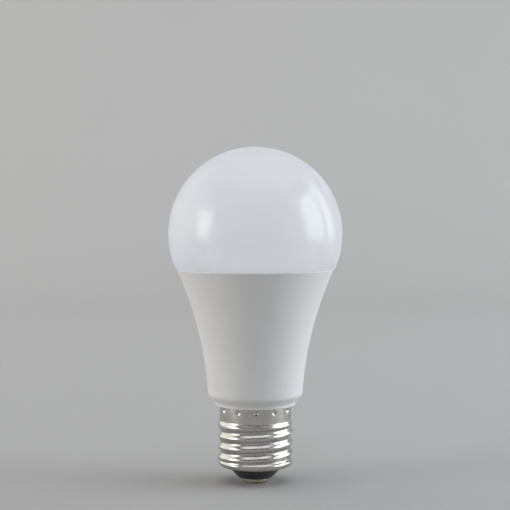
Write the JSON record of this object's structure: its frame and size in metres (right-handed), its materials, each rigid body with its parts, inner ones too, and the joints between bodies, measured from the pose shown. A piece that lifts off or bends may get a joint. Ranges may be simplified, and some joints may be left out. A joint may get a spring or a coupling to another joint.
{
  "type": "smart light bulb",
  "caption": "Opal globe lamp on a tapering white housing with a rolled screw cap; inside, a ringed LED board, a driver board and a radio module.",
  "frame": {"origin": "middle of the centre contact's flat face, which is the lamp's lowest point when it stands cap down", "axes": "+Z along the lamp's axis from the contact to the top of the globe; the driver board lies in a plane of constant Y and its front looks along +Y; +X completes the frame"},
  "size_m": [0.06, 0.06, 0.116],
  "materials": {
    "opal_diffuser": "opal polycarbonate, satin",
    "white_housing": "moulded white plastic, satin",
    "sealant": "cured white silicone",
    "drawn_aluminium": "deep drawn, bare",
    "thermal_silicone": "grey thermal silicone",
    "white_board": "white solder mask on an aluminium core",
    "led_case": "white moulded package",
    "warm_phosphor": "orange phosphor",
    "cool_phosphor": "yellow phosphor",
    "clear_lens": "clear epoxy over three chips",
    "screw_steel": "zinc plated",
    "gold_pin": "gold flash",
    "socket_plastic": "natural nylon",
    "cap_metal": "rolled sheet, nickel plated",
    "contact_metal": "pressed, nickel plated",
    "insulator_black": "moulded black resin",
    "live_insulation": "red silicone insulation",
    "tinned_wire": "tinned copper",
    "green_board": "green solder mask on glass epoxy",
    "blue_board": "blue solder mask on glass epoxy",
    "can_aluminium": "drawn can",
    "can_plug": "black rubber plug",
    "can_sleeve": "shrunk sleeve",
    "ferrite": "sintered ferrite",
    "bobbin_plastic": "black phenolic",
    "winding_tape": "yellow polyester tape over the winding",
    "enamelled_copper": "enamelled copper wire",
    "varistor_epoxy": "blue epoxy coat",
    "film_case": "yellow moulded case",
    "resistor_coat": "green flameproof coat",
    "shrink_tube": "black heat shrink",
    "chip_black": "black moulded package",
    "chip_ceramic": "tan ceramic",
    "shield_can": "tinned steel"
  },
  "bodies": {
    "root": {"diffuser_dome": "opal_diffuser", "housing_shell": "white_housing", "dome_sealant": "sealant", "heat_sink_cup": "drawn_aluminium", "thermal_pad": "thermal_silicone", "led_board": "white_board", "warm_white_leds": "led_case", "cool_white_leds": "led_case", "colour_leds": "led_case", "warm_white_lenses": "warm_phosphor", "cool_white_lenses": "cool_phosphor", "colour_lenses": "clear_lens", "board_screws": "screw_steel", "header_pins": "gold_pin", "radio_pins": "gold_pin", "radio_antenna": "gold_pin", "led_socket": "socket_plastic", "screw_shell": "cap_metal", "centre_contact": "contact_metal", "contact_pin": "contact_metal", "cap_insulator": "insulator_black", "live_lead": "live_insulation", "neutral_lead": "tinned_wire", "capacitor_leads": "tinned_wire", "transformer_pins": "tinned_wire", "component_leads": "tinned_wire", "resistor_leads": "tinned_wire", "chip_legs": "tinned_wire", "driver_board": "green_board", "radio_board": "blue_board", "input_capacitor_can": "can_aluminium", "output_capacitor_can": "can_aluminium", "input_capacitor_plug": "can_plug", "output_capacitor_plug": "can_plug", "input_capacitor_sleeve": "can_sleeve", "output_capacitor_sleeve": "can_sleeve", "transformer_core": "ferrite", "choke_core": "ferrite", "transformer_bobbin": "bobbin_plastic", "transformer_winding": "winding_tape", "choke_winding": "enamelled_copper", "varistor": "varistor_epoxy", "film_capacitor": "film_case", "fusible_resistor": "resistor_coat", "resistor_sleeve": "shrink_tube", "bridge_rectifier": "chip_black", "control_chip": "chip_black", "diodes": "chip_black", "chip_resistors": "chip_black", "chip_capacitors": "chip_ceramic", "radio_shield": "shield_can"}
  },
  "joints": []
}
